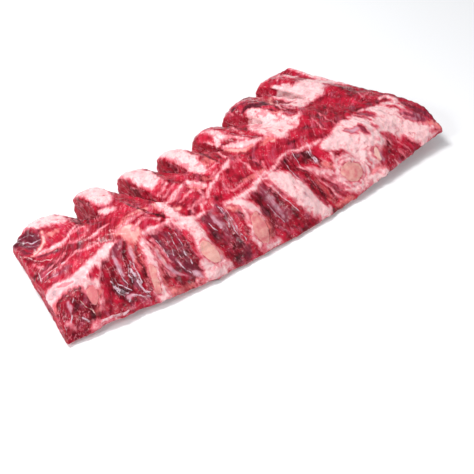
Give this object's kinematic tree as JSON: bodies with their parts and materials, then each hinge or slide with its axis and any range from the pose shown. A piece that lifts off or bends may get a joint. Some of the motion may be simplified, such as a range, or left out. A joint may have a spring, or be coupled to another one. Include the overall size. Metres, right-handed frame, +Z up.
{
  "type": "raw beef back rib rack",
  "caption": "Raw rack of beef back ribs, arched, with a sawn front slope, bone ends and notched rib ends.",
  "frame": {"origin": "middle of the footprint, on the surface that the rack lies on", "axes": "+X along the rack from its thick left end to its thin right end, +Y from the sawn front slope to the rib ends at the back, +Z up"},
  "size_m": [0.454, 0.2028, 0.0504],
  "materials": {
    "meat": "moist raw meat, crimson muscle with pale pink fat and thin wet membrane",
    "bone": "freshly sawn rib bone, tan pink inside a pale rim"
  },
  "bodies": {
    "root": {"rib_meat": "meat", "rib_bone_1": "bone", "rib_bone_2": "bone", "rib_bone_3": "bone", "rib_bone_4": "bone", "rib_bone_5": "bone", "rib_bone_6": "bone", "rib_bone_7": "bone", "rib_bone_8": "bone"}
  },
  "joints": []
}
